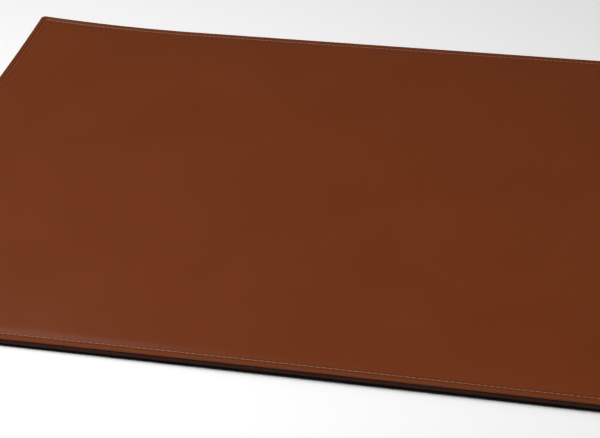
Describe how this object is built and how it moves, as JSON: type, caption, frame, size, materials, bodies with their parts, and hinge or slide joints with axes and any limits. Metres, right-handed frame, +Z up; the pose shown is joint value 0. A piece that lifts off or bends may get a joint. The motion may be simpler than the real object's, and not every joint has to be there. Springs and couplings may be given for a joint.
{
  "type": "desk mat",
  "caption": "Flat rectangular leather desk mat with a stitched, turned edge over a wrapped board, slightly padded, with a felt underside.",
  "frame": {"origin": "centre of the felt face that rests on the desk", "axes": "+X along the long front edge to the user's right, +Y away from the user, +Z up through the thickness"},
  "size_m": [0.864, 0.508, 0.0078],
  "materials": {
    "leather": "smooth satin chestnut",
    "foam": "soft open padding",
    "stiffener": "smooth pressed fibre",
    "card": "matte grey card",
    "board": "smooth hardboard",
    "leatherette": "fine-grained dark brown",
    "felt": "matte black felt",
    "thread": "twisted tan thread"
  },
  "bodies": {
    "root": {"top_leather": "leather", "foam_padding": "foam", "panel_stiffener": "stiffener", "levelling_card": "card", "core_board": "board", "edge_wrap": "leatherette", "underside_felt": "felt", "needle_thread": "thread", "bobbin_thread": "thread"}
  },
  "joints": []
}
